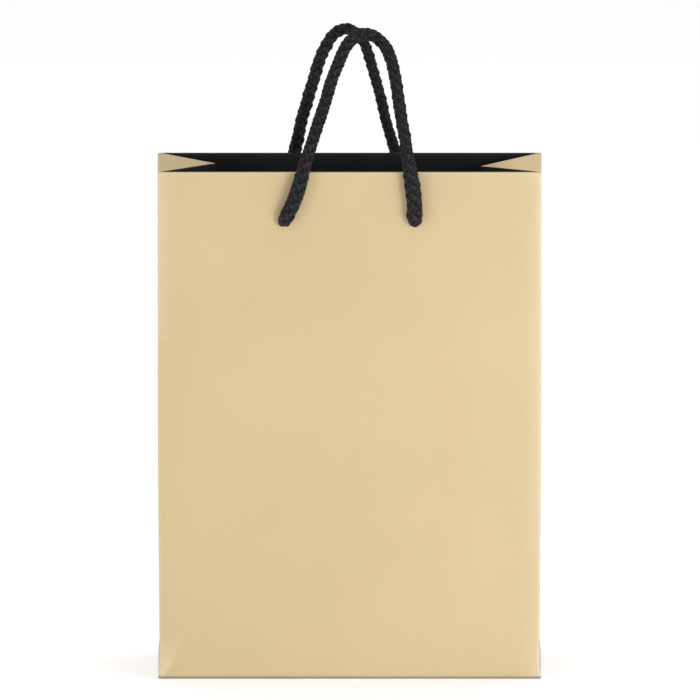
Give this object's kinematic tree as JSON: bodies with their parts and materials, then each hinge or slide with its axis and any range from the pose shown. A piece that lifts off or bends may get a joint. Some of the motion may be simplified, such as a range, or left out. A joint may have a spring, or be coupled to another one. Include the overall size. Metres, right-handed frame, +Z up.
{
  "type": "gift bag",
  "caption": "Upright folded paper gift bag with side gussets, a turned-in top, a card base and two knotted rope handles.",
  "frame": {"origin": "centre of the base on the surface it stands on", "axes": "+Z up, +X to the viewer's right along the wide front, -Y out of the front face"},
  "size_m": [0.18, 0.08, 0.3058],
  "materials": {
    "gold_paper": "champagne gold film, satin; black on its inner side",
    "black_paper": "black inner side of the same paper, matte",
    "greyboard": "plain grey board",
    "black_card": "black board, matte",
    "rope": "black round braid, matte"
  },
  "bodies": {
    "base": {"bottom_flap_back": "gold_paper", "bottom_flap_front": "gold_paper", "bottom_flap_left": "gold_paper", "bottom_flap_right": "gold_paper", "base_card": "black_card"},
    "front_wall": {"front_panel": "gold_paper", "front_top_card": "greyboard", "front_hem": "black_paper", "front_knot_a": "rope", "front_knot_b": "rope"},
    "back_wall": {"back_panel": "gold_paper", "back_top_card": "greyboard", "back_hem": "black_paper", "back_knot_a": "rope", "back_knot_b": "rope", "side_seam_flap": "black_paper"},
    "front_handle": {"front_handle": "rope"},
    "back_handle": {"back_handle": "rope"},
    "left_side_lower": {"left_gusset_lower": "gold_paper"},
    "left_side_front": {"left_gusset_front": "gold_paper", "left_gusset_front_hem": "black_paper"},
    "left_side_back": {"left_gusset_back": "gold_paper", "left_gusset_back_hem": "black_paper"},
    "right_side_lower": {"right_gusset_lower": "gold_paper"},
    "right_side_front": {"right_gusset_front": "gold_paper", "right_gusset_front_hem": "black_paper"},
    "right_side_back": {"right_gusset_back": "gold_paper", "right_gusset_back_hem": "black_paper"}
  },
  "joints": [
    {"name": "mouth_open", "type": "hinge", "parent": "base", "child": "front_wall", "pos_m": [0, -0.04, 0], "axis": [1, 0, 0], "range_deg": [0, 2.5]},
    {"name": "back_wall_open", "type": "hinge", "parent": "base", "child": "back_wall", "pos_m": [0, 0.04, 0], "axis": [-1, 0, 0], "range_deg": [0, 2.5]},
    {"name": "left_gusset_unfold", "type": "hinge", "parent": "base", "child": "left_side_lower", "pos_m": [-0.09, 0, 0], "axis": [0, -1, 0], "range_deg": [0, 6.45]},
    {"name": "left_front_diagonal_unfold", "type": "hinge", "parent": "left_side_lower", "child": "left_side_front", "pos_m": [-0.09, -0.04, 0], "axis": [0.1109, 0.1644, 0.9801], "range_deg": [0, 43.05]},
    {"name": "left_back_diagonal_unfold", "type": "hinge", "parent": "left_side_lower", "child": "left_side_back", "pos_m": [-0.09, 0.04, 0], "axis": [-0.1109, 0.1644, -0.9801], "range_deg": [0, 43.05]},
    {"name": "right_gusset_unfold", "type": "hinge", "parent": "base", "child": "right_side_lower", "pos_m": [0.09, 0, 0], "axis": [0, 1, 0], "range_deg": [0, 6.45]},
    {"name": "right_front_diagonal_unfold", "type": "hinge", "parent": "right_side_lower", "child": "right_side_front", "pos_m": [0.09, -0.04, 0], "axis": [0.1109, -0.1644, -0.9801], "range_deg": [0, 43.05]},
    {"name": "right_back_diagonal_unfold", "type": "hinge", "parent": "right_side_lower", "child": "right_side_back", "pos_m": [0.09, 0.04, 0], "axis": [-0.1109, -0.1644, 0.9801], "range_deg": [0, 43.05]},
    {"name": "front_handle_swing", "type": "hinge", "parent": "front_wall", "child": "front_handle", "pos_m": [0, -0.034, 0.217], "axis": [1, 0, 0], "range_deg": [0, 170]},
    {"name": "back_handle_swing", "type": "hinge", "parent": "back_wall", "child": "back_handle", "pos_m": [0, 0.034, 0.217], "axis": [-1, 0, 0], "range_deg": [0, 170]}
  ],
  "couplings": [
    {"joint": "back_wall_open", "follows": "mouth_open", "ratio": 1},
    {"joint": "left_gusset_unfold", "follows": "mouth_open", "ratio": 2.5744},
    {"joint": "left_front_diagonal_unfold", "follows": "mouth_open", "ratio": 17.187},
    {"joint": "left_back_diagonal_unfold", "follows": "mouth_open", "ratio": 17.187},
    {"joint": "right_gusset_unfold", "follows": "mouth_open", "ratio": 2.5744},
    {"joint": "right_front_diagonal_unfold", "follows": "mouth_open", "ratio": 17.187},
    {"joint": "right_back_diagonal_unfold", "follows": "mouth_open", "ratio": 17.187}
  ]
}
